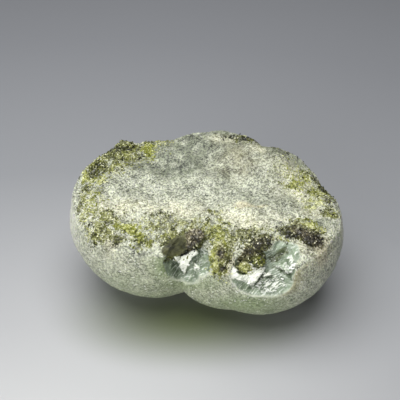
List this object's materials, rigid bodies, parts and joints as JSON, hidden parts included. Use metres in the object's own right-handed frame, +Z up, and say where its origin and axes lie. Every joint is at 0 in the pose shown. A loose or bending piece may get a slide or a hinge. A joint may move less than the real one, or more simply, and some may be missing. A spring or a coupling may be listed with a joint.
{
  "type": "raw prehnite",
  "caption": "Raw prehnite: grown-together frosted pale green balls with a worn hummocky top, an epidote rim and glassy chips at the front. It lies on worn flat spots.",
  "frame": {"origin": "under the middle of the stone, on the surface that it rests on", "axes": "+X along the two balls, to the right when the chips face the viewer; +Y away from the chipped front; +Z up"},
  "size_m": [0.0509, 0.0387, 0.0258],
  "materials": {
    "prehnite": "satin",
    "epidote": "satin"
  },
  "bodies": {
    "root": {"prehnite_stone": "prehnite"}
  },
  "joints": []
}
